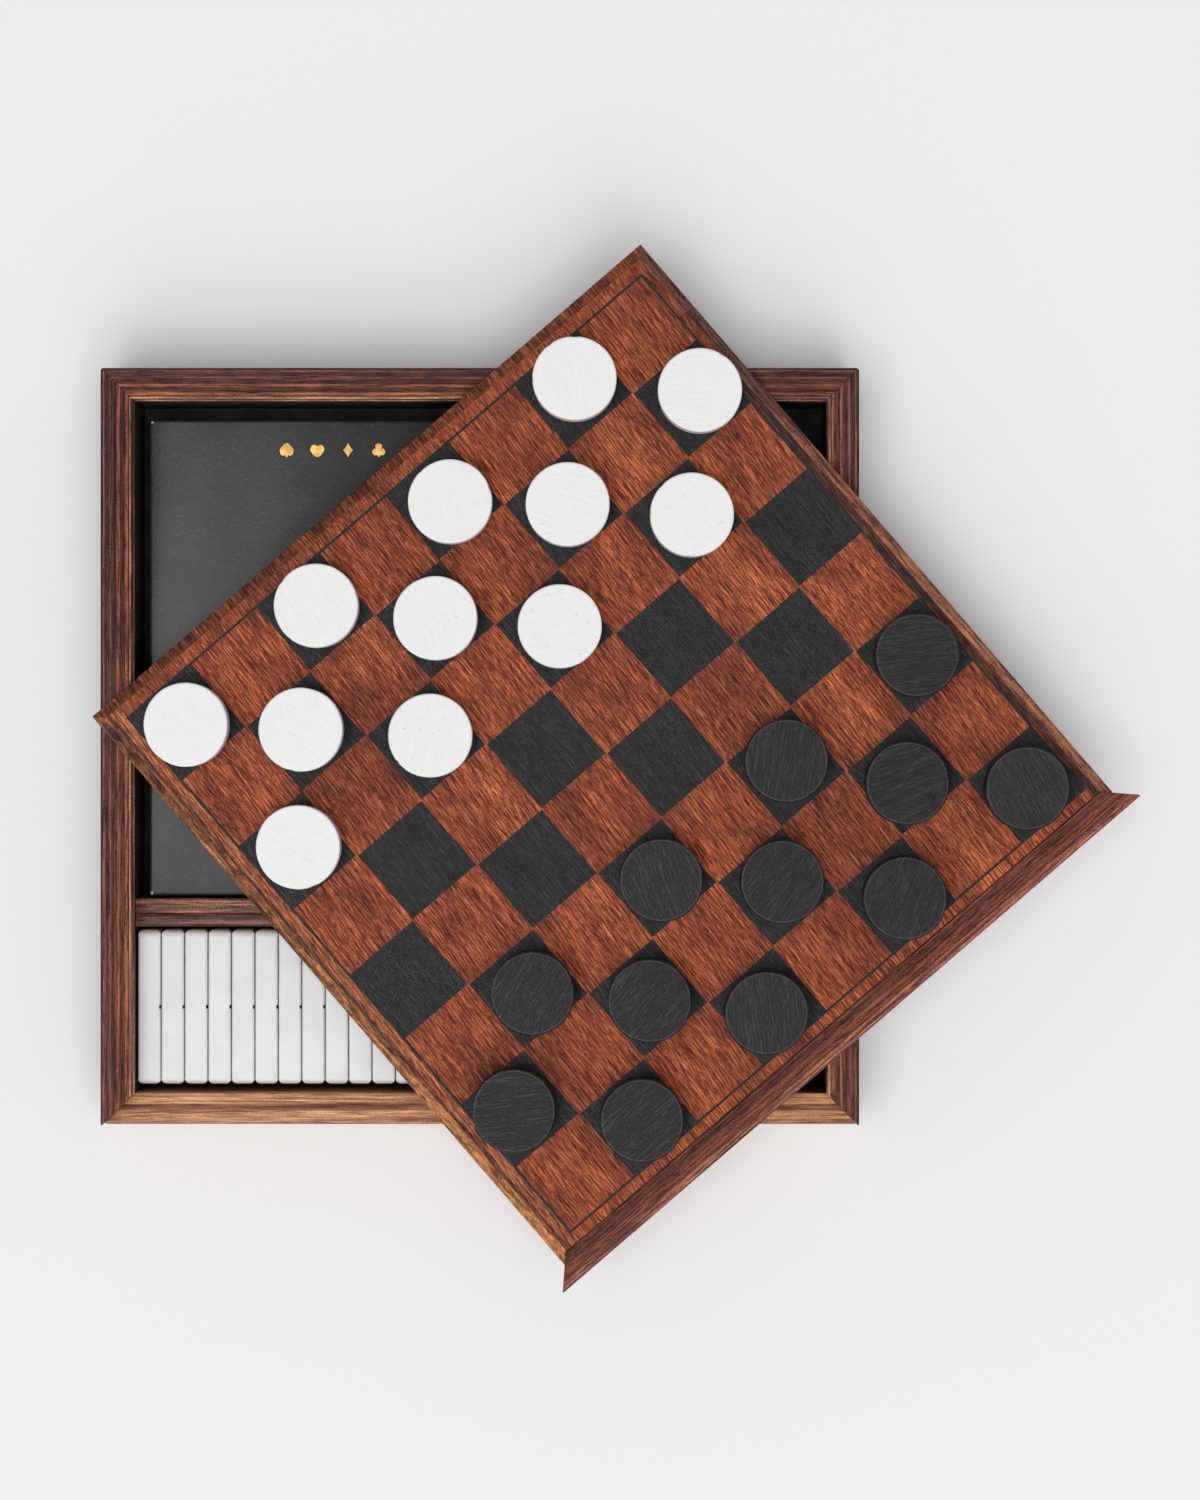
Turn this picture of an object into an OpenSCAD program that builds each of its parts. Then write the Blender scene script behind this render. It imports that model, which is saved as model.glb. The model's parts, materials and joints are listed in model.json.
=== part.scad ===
// Games compendium box: a shallow mitred box with a draughts board for a sliding lid.
// The lid is drawn off its grooves and laid across the rim, turned, with a game set out on it.
// Frame: origin on the table under the middle of the box, +Y to the back, the lid slides out along -Y.

/* [Draughts board] */
// Side of one square
square_side = 24.55; // [24:0.05:32]
// Thickness of the board's panel
panel_t = 5.5; // [4:0.1:8]
// Least width of the panel beside the field
side_margin = 6.4; // [5:0.1:12]
// Least width of the panel behind the field
back_margin = 6.8; // [5:0.1:12]
// Least width of the panel between the field and the toe of the front bar
front_margin = 3.1; // [2:0.1:8]
// How far the field was printed off the panel's middle, towards +X
field_shift = 1; // [-2:0.1:2]
// Width of the line along the field's edge
line_w = 0.7; // [0.5:0.1:2]
// Thickness of the paint film of the dark squares and the line
paint_t = 0.12; // [0.1:0.01:0.3]
// Web of bare wood left where two dark squares meet at a corner
corner_web = 0.4; // [0.1:0.05:1]
// Width of the bevel that thins the panel's edges for the grooves
bevel_w = 3.2; // [2:0.1:4.5]
// Depth of that bevel at the panel's edge
bevel_drop = 2.2; // [1:0.1:3]

/* [Front bar of the board] */
// Width of the bar, from its toe to its front face
bar_w = 8.3; // [7:0.1:14]
// Width of the bar's slope, which is the finger grip
slope_w = 5.4; // [3:0.1:6]
// Thickness of the tongue that joins the panel to the bar
tongue_t = 2; // [1.5:0.1:2.5]
// Length of that tongue
tongue_l = 3; // [2:0.1:4]
// Glue room at the end of the tongue
glue_gap = 0.2; // [0.1:0.05:0.5]

/* [Box] */
// Thickness of the walls
wall_t = 9; // [8:0.1:16]
// Depth of the lid's groove in the walls
groove_depth = 4; // [2.6:0.1:4.5]
// Thickness of the lip over the groove
lip_t = 3; // [2:0.1:6]
// Clearance of the panel in the groove, at each side and at the back
slide_clear = 0.4; // [0.2:0.1:1]
// Clearance over the panel in the groove
top_clear = 0.5; // [0.2:0.1:1]
// Thickness of the bottom panel
bottom_t = 3; // [2:0.1:6]
// How far the bottom panel reaches into the walls' rebate
rebate_w = 4.5; // [2:0.1:6]
// Gap round the bottom panel in its rebate
bottom_fit = 0.15; // [0.1:0.05:0.5]
// Width of the small chamfer along the long edges and the outer corners of the woodwork
arris = 0.6; // [0.2:0.1:1.2]
// Room between the tops of the contents and the closed lid
headroom = 2.5; // [1:0.1:10]

/* [Dividers and lining] */
// Thickness of the divider strip on the side of the cards
strip_card_t = 4.4; // [3:0.1:8]
// Thickness of the divider strip on the side of the dominoes
strip_domino_t = 3.8; // [3:0.1:8]
// How far the divider's top stays under the closed lid
divider_drop = 1; // [0.5:0.1:6]
// Thickness of the felt
felt_t = 1; // [0.6:0.1:2]
// Gap between the felt and the wood round it
felt_gap = 0.3; // [0.1:0.1:1]

/* [Dominoes] */
// Length of a domino
domino_l = 45.2; // [36:0.1:56]
// Width of a domino, which is its height as it stands on edge
domino_w = 22.5; // [18:0.1:28]
// Thickness of a domino
domino_t = 6.6; // [4:0.1:6.8]
// Radius of the corners of a domino's face
domino_corner = 2.6; // [1:0.1:5]
// Radius that softens a domino's long edges
domino_soft = 1; // [0.5:0.1:2]
// Radius of the rounder edges at a domino's two ends
domino_end_soft = 1.7; // [0.5:0.1:3]
// Gap between neighbours at the left end of the row
near_gap = 0.26; // [0.1:0.02:0.4]
// Gap between neighbours in the rest of the row
far_gap = 0.5; // [0.1:0.02:0.6]
// Gap between the first domino and the left wall
row_start = 0.6; // [0.3:0.1:2]
// Least room between the last domino and the right wall
row_end = 2; // [0.3:0.1:5]
// Gap between the dominoes' ends and the divider
end_gap_back = 1; // [0.3:0.1:2]
// Gap between the dominoes' ends and the front wall
end_gap_front = 2.4; // [0.3:0.1:6]
// Width of a pip's dimple
pip_d = 3.2; // [2:0.1:4.5]
// Depth of a pip and of the middle line
pip_depth = 0.4; // [0.3:0.1:0.8]
// Spacing of the pips
pip_pitch = 5.2; // [4.6:0.1:6]
// Width of the line across the middle of a domino
mid_line_w = 1; // [0.6:0.1:2]

/* [Card box] */
// Length of a playing card
card_l = 88; // [80:0.5:92]
// Width of a playing card
card_w = 63; // [56:0.5:64]
// Radius of a card's corners
card_corner = 3.2; // [2:0.1:5]
// Height of a pack of cards
deck_h = 16; // [12:0.1:19]
// Thickness of the wrapped board that the card box is made of
board_t = 1.8; // [1:0.1:2.5]
// Gap between the lid's skirt and the tray
lid_fit = 0.4; // [0.2:0.1:1]
// Room at the short ends of the cards
card_room_l = 2.8; // [0.5:0.1:4]
// Room at the long sides of the cards
card_room_w = 0.8; // [0.4:0.1:1.2]
// Thickness of the rib between the two packs
rib_t = 1.9; // [1:0.1:3]
// Room over the packs under the lid
deck_headroom = 1; // [0.5:0.1:3]
// Height of the tray that shows under the lid's skirt
skirt_lift = 1.2; // [0.6:0.1:5]
// Radius of the thumb notches in the lid's skirt
notch_r = 9; // [6:0.5:12]
// Gap between the card box and the left wall
card_gap_left = 4; // [1:0.1:10]
// Least room between the card box and the right wall
card_gap_right = 4; // [1:0.1:10]
// Gap between the card box and the divider
card_gap_front = 0.8; // [0.4:0.1:3]
// Least room between the card box and the back wall
card_gap_back = 2; // [1:0.1:10]

/* [Draughts] */
// Diameter of a draught
draught_d = 24.2; // [18:0.1:24.4]
// Thickness of a draught
draught_t = 8; // [5:0.1:12]
// Size of the softened edge of a draught
draught_soft = 0.7; // [0.3:0.1:1.5]

/* [How the board lies] */
// Turn of the board on the rim, anticlockwise from above
board_turn = 40.75; // [30:0.25:50]
// Place of the board's field on the rim, towards +X
board_x = 36.6; // [30:0.1:42]
// Place of the board's field on the rim, towards +Y
board_y = -1.8; // [-6:0.1:4]

/* [Hidden] */
$fn = 48;
ranks = 8;
// Column and row of each white man, counted from the back left corner, and how far off the middle of its square he
// stands towards +X and towards the back, as parts of a square
WHITE = [
    [6, 0, 0.08, 0.06], [7, 1, 0.1, 0], [4, 0, 0.04, -0.08], [5, 1, 0.06, 0], [6, 2, 0.08, -0.04], [2, 0, 0.06, 0.02],
    [3, 1, 0.02, 0], [4, 2, 0.06, -0.02], [0, 0, 0, -0.04], [1, 1, -0.02, 0.04], [2, 2, 0.08, 0], [0, 2, 0.06, 0.02]
];
// The same for each black man
BLACK = [
    [7, 5, 0, 0], [5, 5, 0.04, 0.06], [6, 6, -0.06, -0.06], [7, 7, -0.04, -0.02], [3, 5, 0.02, -0.04], [4, 6, 0.08, 0.02],
    [5, 7, 0.04, -0.06], [1, 5, 0.02, -0.06], [2, 6, 0, -0.02], [3, 7, -0.06, -0.02], [0, 6, -0.04, 0.04], [1, 7, 0.02, -0.02]
];
// The double-six set, from double blank up
DOMINO_SET = [for (a = [0:6]) for (b = [a:6]) [a, b]];
domino_count = len(DOMINO_SET);
near_count = 12;

// The card box, from the cards outwards
tray_in_l = card_l + 2 * card_room_l;
tray_in_w = 2 * card_w + 4 * card_room_w + rib_t;
tray_l = tray_in_l + 2 * board_t;
tray_w = tray_in_w + 2 * board_t;
lid_l = tray_l + 2 * lid_fit + 2 * board_t;
lid_w = tray_w + 2 * lid_fit + 2 * board_t;
card_box_h = board_t + deck_h + deck_headroom + board_t;

// The box is as wide inside as its board, its row of dominoes or its card box asks, whichever is the most
field = ranks * square_side;
tongue_in = groove_depth - slide_clear;
row_gaps = near_count * near_gap + (domino_count - 1 - near_count) * far_gap;
row_need = row_start + domino_count * domino_t + row_gaps + row_end;
inner_w = max(field + 2 * (side_margin - tongue_in), row_need, card_gap_left + lid_l + card_gap_right);
panel_w = inner_w + 2 * tongue_in;
box_w = inner_w + 2 * wall_t;

// And as deep: front wall, domino channel, divider, well, back wall
channel_d = end_gap_front + domino_l + end_gap_back;
contents_need = channel_d + strip_domino_t + strip_card_t + card_gap_front + lid_w + card_gap_back;
lid_need = field + back_margin + front_margin + bar_w;
inner_d = max(lid_need - tongue_in - wall_t, contents_need);
box_d = inner_d + 2 * wall_t;
inner_front = -inner_d / 2;
inner_back = inner_d / 2;
strip_domino_y = inner_front + channel_d;
strip_card_y = strip_domino_y + strip_domino_t;
well_front = strip_card_y + strip_card_t;
card_box_x = -inner_w / 2 + card_gap_left + lid_l / 2;
card_box_y = well_front + card_gap_front + lid_w / 2;

// The lid reaches from the bottom of the back groove to the front of the box
lid_length = inner_d + tongue_in + wall_t;
panel_back = field / 2 + back_margin + lid_length - lid_need;
bar_toe = -(field / 2 + front_margin);
bar_front = bar_toe - bar_w;
bar_half_toe = box_w / 2 - bar_w;
ear_y = bar_toe - (panel_w / 2 - bar_half_toe);

// The contents set the heights
floor_z = bottom_t + felt_t;
groove_z = floor_z + max(domino_w, card_box_h) + headroom;
groove_h = panel_t + top_clear;
bar_h = groove_h + lip_t;
box_h = groove_z + bar_h;
divider_z = groove_z - divider_drop;

WOOD_RIM = "#5b3328";
WOOD_RAW = "#8a5a3c";
WOOD_BOARD = "#93502f";
DARK_STAIN = "#2a3132";
FELT_BLACK = "#151719";
CARD_BLACK = "#33373a";
CARD_PAPER = "#d9d4c8";
DOMINO_WHITE = "#eceded";
MAN_WHITE = "#e6e8e8";
MAN_BLACK = "#2b2f31";

function two_digits(i) = str(i < 10 ? "0" : "", i);
function domino_name(i) = str("domino_", two_digits(i));
function white_name(i) = str("white_draught_", two_digits(i));
function black_name(i) = str("black_draught_", two_digits(i));

// ---- Woodwork of the box ----

// A stick of the given section (u inwards, z up) along the front of a frame w wide and d deep, mitred at both ends,
// with its half of the eased outer corners
module mitred_stick(w, d, t, h) {
    a = w / 2;
    e = arris;
    translate([0, -d / 2, 0])
        intersection() {
            rotate([90, 0, 90]) linear_extrude(w, center = true) children();
            linear_extrude(2 * h)
                polygon([[e - a, 0], [a - e, 0], [a - e / 2, e / 2], [a - t, t], [t - a, t], [e / 2 - a, e / 2]]);
        }
}

// Section of a wall that carries the lid: rebate for the bottom, groove and lip at the top
module grooved_section() {
    polygon([
        [arris, 0], [wall_t - rebate_w, 0], [wall_t - rebate_w, bottom_t], [wall_t, bottom_t],
        [wall_t, groove_z], [wall_t - groove_depth, groove_z], [wall_t - groove_depth, groove_z + groove_h],
        [wall_t, groove_z + groove_h], [wall_t, box_h - arris], [wall_t - arris, box_h],
        [arris, box_h], [0, box_h - arris], [0, arris]
    ]);
}

// Section of the front wall, which stops at the groove's floor so that the lid slides over it
module front_section() {
    polygon([
        [arris, 0], [wall_t - rebate_w, 0], [wall_t - rebate_w, bottom_t], [wall_t, bottom_t],
        [wall_t, groove_z], [0, groove_z], [0, arris]
    ]);
}

module wall_left() {
    color(WOOD_RIM) rotate([0, 0, -90]) mitred_stick(box_d, box_w, wall_t, box_h) grooved_section();
}

module wall_right() {
    color(WOOD_RIM) rotate([0, 0, 90]) mitred_stick(box_d, box_w, wall_t, box_h) grooved_section();
}

module wall_back() {
    color(WOOD_RIM) rotate([0, 0, 180]) mitred_stick(box_w, box_d, wall_t, box_h) grooved_section();
}

module wall_front() {
    color(WOOD_RAW) mitred_stick(box_w, box_d, wall_t, box_h) front_section();
}

module bottom_panel() {
    reach = rebate_w - bottom_fit;
    color(WOOD_RAW)
        translate([0, (inner_front + inner_back) / 2, bottom_t / 2])
            cube([inner_w + 2 * reach, inner_back - inner_front + 2 * reach, bottom_t], center = true);
}

// A divider strip across the box from wall to wall, with its two top edges eased
module divider_strip(y, t) {
    translate([0, y, 0])
        rotate([90, 0, 90])
            linear_extrude(inner_w, center = true)
                polygon([
                    [0, bottom_t], [t, bottom_t], [t, divider_z - arris], [t - arris, divider_z],
                    [arris, divider_z], [0, divider_z - arris]
                ]);
}

module divider_strip_domino_side() {
    color(WOOD_RIM) divider_strip(strip_domino_y, strip_domino_t);
}

module divider_strip_card_side() {
    color(WOOD_RAW) divider_strip(strip_card_y, strip_card_t);
}

// Felt on the bottom panel between two faces of wood
module felt(y_front, y_back) {
    color(FELT_BLACK)
        translate([-inner_w / 2 + felt_gap, y_front + felt_gap, bottom_t])
            cube([inner_w - 2 * felt_gap, y_back - y_front - 2 * felt_gap, felt_t]);
}

module felt_channel() {
    felt(inner_front, strip_domino_y);
}

module felt_well() {
    felt(well_front, inner_back);
}

// ---- Board: its own frame has the underside at z = 0 and the middle of the panel's field line at x = 0 ----

// Puts a thing drawn in the board's frame onto the rim
module on_rim() {
    translate([board_x, board_y, box_h]) rotate([0, 0, board_turn]) translate([-field_shift, 0, 0]) children();
}

// The plan of the panel: its front corners follow the bar's mitre
module panel_plan() {
    half = panel_w / 2;
    polygon([
        [-half, panel_back], [half, panel_back], [half, ear_y], [bar_half_toe, bar_toe],
        [-bar_half_toe, bar_toe], [-half, ear_y]
    ]);
}

// The wedge that a bevel takes off the panel's top along one edge, run along X with the edge at y = 0
module bevel_wedge(run) {
    rotate([90, 0, 90])
        linear_extrude(run, center = true)
            polygon([[-bevel_w, panel_t], [bevel_w, panel_t - 2 * bevel_drop], [bevel_w, 2 * panel_t],
                     [-bevel_w, 2 * panel_t]]);
}

// The tongue's own block, rooted in the panel and longer in the bar's groove than on the panel
module tongue(length) {
    half = bar_half_toe - tongue_l;
    translate([-half, bar_toe - length, (panel_t - tongue_t) / 2]) cube([2 * half, length + tongue_l, tongue_t]);
}

module board_panel() {
    run = 2 * lid_length;
    color(WOOD_BOARD)
        on_rim() {
            difference() {
                linear_extrude(panel_t) panel_plan();
                translate([0, panel_back, 0]) bevel_wedge(run);
                for (side = [-90, 90])
                    rotate([0, 0, side]) translate([0, panel_w / 2, 0]) bevel_wedge(run);
            }
            tongue(tongue_l);
        }
}

// The bar: a flat top, and a slope for the fingers that runs down to the panel's face
module bar_section() {
    polygon([
        [arris, 0], [bar_w, 0], [bar_w, panel_t], [bar_w - slope_w, bar_h],
        [arris, bar_h], [0, bar_h - arris], [0, arris]
    ]);
}

module board_bar() {
    color(WOOD_RIM)
        on_rim()
            difference() {
                translate([0, bar_front, 0]) mitred_stick(box_w, 0, bar_w, bar_h) bar_section();
                tongue(tongue_l + glue_gap);
            }
}

// Middle of the square in a column and a row, counted from the back left corner
function square_x(column) = field_shift + (column + 0.5 - ranks / 2) * square_side;
function square_y(row) = (ranks / 2 - row - 0.5) * square_side;

module board_dark_squares() {
    side = square_side - corner_web;
    inside = field - 2 * line_w;
    color(DARK_STAIN)
        on_rim()
            intersection() {
                for (row = [0:ranks - 1])
                    for (column = [row % 2:2:ranks - 1])
                        translate([square_x(column), square_y(row), panel_t + paint_t / 2])
                            cube([side, side, paint_t], center = true);
                translate([field_shift, 0, panel_t]) cube([inside, inside, 2 * paint_t], center = true);
            }
}

module board_line() {
    color(DARK_STAIN)
        on_rim()
            translate([field_shift, 0, panel_t])
                linear_extrude(paint_t)
                    difference() {
                        square(field, center = true);
                        square(field - 2 * line_w, center = true);
                    }
}

// ---- Draughts ----

// A turned disc with softened edges
module draught() {
    r = draught_d / 2;
    s = draught_soft;
    k = s * (1 - cos(45));
    rotate_extrude()
        polygon([
            [0, 0], [r - s, 0], [r - k, k], [r, s], [r, draught_t - s], [r - k, draught_t - k],
            [r - s, draught_t], [0, draught_t]
        ]);
}

// A draught on the painted face of the board, at [column, row, part of a square to +X, part of a square to the back]
module man(place) {
    on_rim()
        translate([square_x(place[0] + place[2]), square_y(place[1] - place[3]), panel_t + paint_t])
            draught();
}

module white_man(i) {
    color(MAN_WHITE) man(WHITE[i - 1]);
}

module black_man(i) {
    color(MAN_BLACK) man(BLACK[i - 1]);
}

// ---- Dominoes ----

// A rectangle with round corners, centred, made of plain squares and circles so that its arcs stay true
module round_rectangle(a, b, r) {
    square([a - 2 * r, b], center = true);
    square([a, b - 2 * r], center = true);
    for (x = [r - a / 2, a / 2 - r])
        for (y = [r - b / 2, b / 2 - r])
            translate([x, y]) circle(r);
}

// Places of the pips of one half, in steps of the pip pitch
function pips(n) = concat(
    n % 2 == 1 ? [[0, 0]] : [],
    n >= 2 ? [[-1, -1], [1, 1]] : [],
    n >= 4 ? [[-1, 1], [1, -1]] : [],
    n == 6 ? [[0, -1], [0, 1]] : []
);

// The marked face looks along +X: a line across the middle and a dimple for each pip
module domino(halves) {
    ball_r = (pip_d * pip_d / 4 + pip_depth * pip_depth) / (2 * pip_depth);
    difference() {
        intersection() {
            rotate([90, 0, 90])
                linear_extrude(domino_t, center = true) round_rectangle(domino_l, domino_w, domino_corner);
            linear_extrude(2 * domino_w, center = true) round_rectangle(domino_t, domino_l, domino_end_soft);
            rotate([90, 0, 0])
                linear_extrude(2 * domino_l, center = true) round_rectangle(domino_t, domino_w, domino_soft);
        }
        translate([domino_t / 2, 0, 0])
            cube([2 * pip_depth, mid_line_w, 2 * domino_w], center = true);
        for (half = [0, 1])
            for (p = pips(halves[half]))
                translate([domino_t / 2 - pip_depth + ball_r, (half - 0.5) * domino_l / 2 + p[0] * pip_pitch,
                           p[1] * pip_pitch])
                    sphere(ball_r);
    }
}

// The nth domino of the row, standing on edge on the felt
module domino_in_row(i) {
    near = min(i - 1, near_count);
    far = i - 1 - near;
    x = -inner_w / 2 + row_start + near * (domino_t + near_gap) + far * (domino_t + far_gap) + domino_t / 2;
    color(DOMINO_WHITE)
        translate([x, strip_domino_y - end_gap_back - domino_l / 2, floor_z + domino_w / 2])
            domino(DOMINO_SET[(i * 11 + 4) % domino_count]);
}

module dominoes_13_to_28() {
    for (i = [near_count + 1:domino_count]) domino_in_row(i);
}

// ---- Card box ----

// Puts a thing centred on x = y = 0 and standing on z = 0 where the card box lies
module in_well() {
    translate([card_box_x, card_box_y, floor_z]) children();
}

// An upright box centred on x and y, from z0 to z1
module block(l, w, z0, z1) {
    translate([-l / 2, -w / 2, z0]) cube([l, w, z1 - z0]);
}

module card_box_tray() {
    rim = board_t + deck_h + deck_headroom;
    color(CARD_BLACK)
        in_well()
            difference() {
                block(tray_l, tray_w, 0, rim);
                for (side = [-1, 1])
                    translate([0, side * (tray_in_w + rib_t) / 4, 0])
                        block(tray_in_l, (tray_in_w - rib_t) / 2, board_t, 2 * rim);
            }
}

module card_box_lid() {
    color(CARD_BLACK)
        in_well()
            difference() {
                block(lid_l, lid_w, skirt_lift, card_box_h);
                block(lid_l - 2 * board_t, lid_w - 2 * board_t, 0, card_box_h - board_t);
                translate([0, 0, skirt_lift]) rotate([0, 90, 0]) cylinder(h = 2 * lid_l, r = notch_r, center = true);
            }
}

// A pack of cards in one half of the tray: -1 nearer the divider, 1 nearer the back wall
module card_pack(side) {
    color(CARD_PAPER)
        in_well()
            translate([0, side * (tray_in_w + rib_t) / 4, board_t])
                linear_extrude(deck_h) round_rectangle(card_l, card_w, card_corner);
}

module card_pack_back() {
    card_pack(1);
}

module card_pack_front() {
    card_pack(-1);
}

// ---- The assembly ----

wall_left();
wall_right();
wall_back();
wall_front();
bottom_panel();
divider_strip_card_side();
divider_strip_domino_side();
felt_well();
felt_channel();
board_panel();
board_bar();
board_dark_squares();
board_line();
card_box_tray();
card_box_lid();
card_pack_back();
card_pack_front();
for (i = [1:near_count])
    domino_in_row(i);
dominoes_13_to_28();
for (i = [1:len(WHITE)])
    white_man(i);
for (i = [1:len(BLACK)])
    black_man(i);
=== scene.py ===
"""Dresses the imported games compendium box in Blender 4.5: woodwork, board, draughts, dominoes, card box, studio."""

import json
import logging
import math
from collections.abc import Callable
from dataclasses import dataclass, field, replace
from enum import Enum

import bmesh
import bpy
import numpy as np
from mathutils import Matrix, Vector

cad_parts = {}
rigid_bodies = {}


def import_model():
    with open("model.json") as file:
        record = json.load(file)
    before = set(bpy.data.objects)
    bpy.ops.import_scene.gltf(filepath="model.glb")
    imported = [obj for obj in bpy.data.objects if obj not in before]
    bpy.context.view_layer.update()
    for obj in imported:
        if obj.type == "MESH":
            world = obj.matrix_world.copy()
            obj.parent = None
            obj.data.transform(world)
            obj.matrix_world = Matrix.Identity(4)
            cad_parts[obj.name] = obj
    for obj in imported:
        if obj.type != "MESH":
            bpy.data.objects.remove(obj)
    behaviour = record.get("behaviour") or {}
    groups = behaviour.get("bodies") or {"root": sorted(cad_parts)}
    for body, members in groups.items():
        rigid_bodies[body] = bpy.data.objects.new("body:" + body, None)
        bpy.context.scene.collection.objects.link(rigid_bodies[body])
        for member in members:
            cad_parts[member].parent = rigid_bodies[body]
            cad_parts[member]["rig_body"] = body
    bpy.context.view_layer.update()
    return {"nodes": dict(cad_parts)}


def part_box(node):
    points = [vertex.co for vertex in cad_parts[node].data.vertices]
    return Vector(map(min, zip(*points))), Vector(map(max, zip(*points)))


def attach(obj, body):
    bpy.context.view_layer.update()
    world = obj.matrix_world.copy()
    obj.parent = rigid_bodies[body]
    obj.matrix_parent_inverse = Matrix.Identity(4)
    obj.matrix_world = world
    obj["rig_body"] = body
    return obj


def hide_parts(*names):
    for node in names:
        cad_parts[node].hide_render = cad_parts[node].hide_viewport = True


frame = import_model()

MM = 0.001
FAR = 1000.0  # mm, past the end of any piece
DOUBLES = 0.002 * MM  # points that lie closer than this are one
FLAT = math.radians(0.4)  # faces that meet at less than this are one

log = logging.getLogger("games_box")

Array = np.ndarray
Colour = tuple[float, float, float]
Point = tuple[float, float, float]
Material = bpy.types.Material
Mesh = bpy.types.Mesh
Socket = bpy.types.NodeSocket
Sockets = bpy.types.bpy_prop_collection
Tree = bpy.types.NodeTree
FaceSort = Callable[[Array, Array], Array]  # from the faces' middles and normals to the numbers of their materials


def srgb(*steps: int) -> Colour:
    """Turns a colour as seen on a screen into the linear colour that shaders work in.

    Args:
        steps: Red, green and blue, 0 to 255.

    Returns:
        The linear colour.
    """
    share = np.array(steps) / 255
    linear = np.where(share <= 0.04045, share / 12.92, ((share + 0.055) / 1.055) ** 2.4)
    return tuple(linear.tolist())


# ---- Shader trees ----


class Bench:
    """Lays out the nodes of one shader tree."""

    def __init__(self, tree: Tree) -> None:
        """Starts work on a tree."""
        self.tree = tree

    def feed(self, socket: Socket, value: object) -> None:
        """Links an input to an output, or gives it a plain value.

        Args:
            socket: The input to feed.
            value: An output socket, a number or a vector; a colour gets its alpha.
        """
        if isinstance(value, Socket):
            self.tree.links.new(value, socket)
        elif socket.type == "RGBA" and len(value) == 3:
            socket.default_value = (*value, 1)
        else:
            socket.default_value = value

    def put(self, kind: str, *values: object, **settings: object) -> bpy.types.Node:
        """Adds a node.

        Args:
            kind: The node's type, without the word ShaderNode.
            values: What its first inputs take, in order.
            settings: Its properties by name.

        Returns:
            The node.
        """
        node = self.tree.nodes.new(f"ShaderNode{kind}")
        for name, value in settings.items():
            setattr(node, name, value)
        for socket, value in zip(node.inputs, values):
            self.feed(socket, value)
        return node

    def fill(self, node: bpy.types.Node, **values: object) -> Sockets:
        """Feeds a node's inputs by name.

        Args:
            node: The node.
            values: What its inputs take, by their names with _ for a space.

        Returns:
            The node's outputs.
        """
        for name, value in values.items():
            self.feed(node.inputs[name.replace("_", " ")], value)
        return node.outputs

    def effect(self, tree: Tree, **values: object) -> Sockets:
        """The outputs of a shared effect, whose inputs are fed by name."""
        return self.fill(self.put("Group", node_tree=tree), **values)

    def math(self, operation: str, *values: object) -> Socket:
        """The result of a Math node."""
        return self.put("Math", *values, operation=operation).outputs[0]

    def times(self, *values: object) -> Socket:
        """The product of two values, with the third added if there is one."""
        return self.math("MULTIPLY_ADD" if len(values) == 3 else "MULTIPLY", *values)

    def vector(self, operation: str, *values: object) -> Socket:
        """The result of a Vector Math node."""
        return self.put("VectorMath", *values, operation=operation).outputs["Vector"]

    def join(self, *parts: object) -> Socket:
        """A vector of up to three parts."""
        return self.put("CombineXYZ", *parts).outputs[0]

    def split(self, vector: object) -> Sockets:
        """A vector's three parts."""
        return self.put("SeparateXYZ", vector).outputs

    def window(self, value: object, low: float, high: float) -> Socket:
        """Where a value stands between low, which becomes 0, and high, which becomes 1, smoothly."""
        return self.put("MapRange", value, low, high, interpolation_type="SMOOTHSTEP").outputs[0]

    def noise(self, at: object, scale: object = 1.0, detail: float = 2, rough: float = 0.5) -> Socket:
        """Cloudy noise of about 0.25 to 0.75, of so many cycles for each unit."""
        return self.fill(self.put("TexNoise"), Vector=at, Scale=scale, Detail=detail, Roughness=rough)[0]

    def blend(self, share: object, first: object, second: object, how: str = "MIX") -> Socket:
        """Mixes two colours.

        Args:
            share: How much of the second, 0 to 1.
            first: The first colour.
            second: The second colour.
            how: The blend type.

        Returns:
            The mixed colour.
        """
        node = self.put("Mix", share, data_type="RGBA", blend_type=how, clamp_factor=True)
        for socket, colour in zip(node.inputs[6:8], (first, second)):
            self.feed(socket, colour)
        return node.outputs[2]

    def place(self, at: object, centre: Point = (0, 0, 0), turn: float = 0, size: Point = (1, 1, 1)) -> Socket:
        """Reads coordinates in a frame of its own: what lies at centre becomes zero.

        Args:
            at: The coordinates.
            centre: The frame's origin.
            turn: The frame's turn about Z, anticlockwise.
            size: What the result is multiplied by on each axis.

        Returns:
            The coordinates in that frame.
        """
        for name, value in (("Location", [-c for c in centre]), ("Rotation", (0, 0, -turn)), ("Scale", size)):
            at = self.fill(self.put("Mapping", vector_type="POINT"), Vector=at, **{name: value})[0]
        return at


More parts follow.
